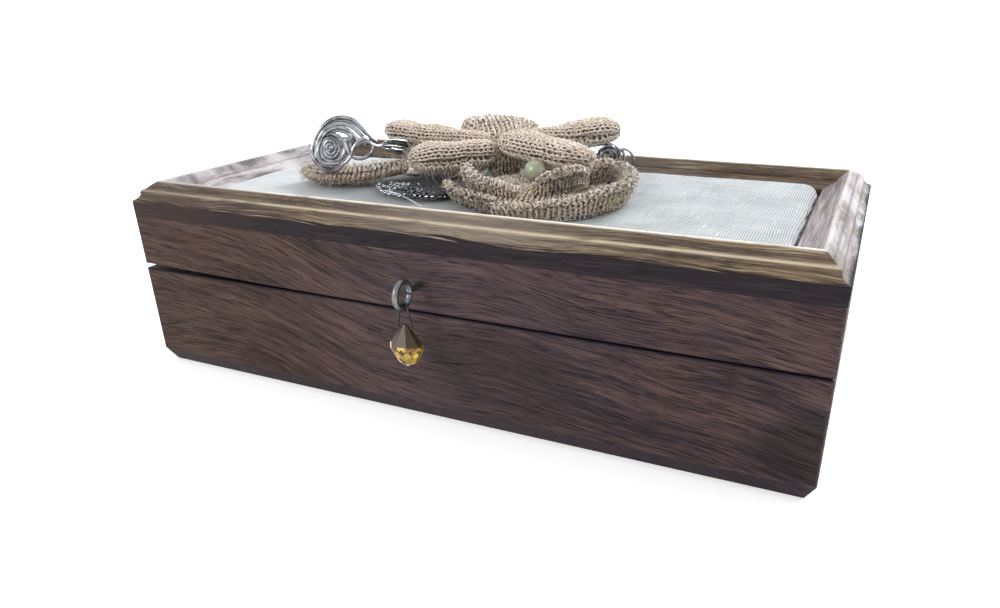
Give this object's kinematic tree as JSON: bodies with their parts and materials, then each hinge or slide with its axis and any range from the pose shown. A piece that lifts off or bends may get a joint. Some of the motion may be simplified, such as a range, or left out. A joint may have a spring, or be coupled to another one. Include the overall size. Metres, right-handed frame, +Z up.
{
  "type": "wooden jewelry box",
  "caption": "Hinged wooden jewelry box with a mitred moulding, a linen pad with crochet and wire trimmings on the lid, and a crystal pull on a screw eye.",
  "frame": {"origin": "middle of the underside that the box stands on", "axes": "+X along the front to the right, +Y towards the hinges, +Z up"},
  "size_m": [0.3, 0.1685, 0.1125],
  "materials": {
    "walnut": "waxed, open pored",
    "moulding": "waxed, rubbed on its edges",
    "board": "bare",
    "lining": "felt",
    "linen": "plain weave",
    "wadding": "soft",
    "hinge_brass": "aged",
    "eye_steel": "dull",
    "link_steel": "dark",
    "crystal": "faceted",
    "jute": "crocheted",
    "pearl": "pearly",
    "silver_wire": "bright",
    "filigree": "oxidised",
    "shell": "satin"
  },
  "bodies": {
    "base": {"base_front_wall": "walnut", "base_right_wall": "walnut", "base_back_wall": "walnut", "base_left_wall": "walnut", "base_floor": "board", "base_lining": "lining", "hinge_left_base_leaf": "hinge_brass", "hinge_right_base_leaf": "hinge_brass", "hinge_left_pin": "hinge_brass", "hinge_right_pin": "hinge_brass", "base_hinge_screws": "hinge_brass"},
    "lid": {"lid_front_wall": "walnut", "lid_right_wall": "walnut", "lid_back_wall": "walnut", "lid_left_wall": "walnut", "moulding_front": "moulding", "moulding_right": "moulding", "moulding_back": "moulding", "moulding_left": "moulding", "lid_board": "board", "lid_wadding": "wadding", "linen_cover": "linen", "hinge_left_lid_leaf": "hinge_brass", "hinge_right_lid_leaf": "hinge_brass", "lid_hinge_screws": "hinge_brass", "screw_eye": "eye_steel", "flower_core": "jute", "petal_front_left": "jute", "petal_back_left": "jute", "petal_back": "jute", "petal_back_right": "jute", "petal_front_right": "jute", "rosette_base": "jute", "rosette_rim": "jute", "rosette_inner_band": "jute", "rosette_scallops": "jute", "pearl_bead": "pearl", "jute_leaf": "jute", "wire_rose": "silver_wire", "wire_stem": "silver_wire", "wire_cluster": "silver_wire", "filigree_leaf": "filigree", "shell_disc": "shell"},
    "link": {"pendant_link": "link_steel"},
    "drop": {"crystal_drop": "crystal"}
  },
  "joints": [
    {"name": "lid_hinge", "type": "hinge", "parent": "base", "child": "lid", "pos_m": [0, 0.0718, 0.0473], "axis": [-1, 0, 0], "range_deg": [0, 97]},
    {"name": "link_swing", "type": "hinge", "parent": "lid", "child": "link", "pos_m": [0, -0.0875, 0.0542], "axis": [0, 1, 0], "range_deg": [-50, 50]},
    {"name": "drop_swing", "type": "hinge", "parent": "link", "child": "drop", "pos_m": [0, -0.0875, 0.04551], "axis": [1, 0, 0], "range_deg": [-60, 40]}
  ]
}
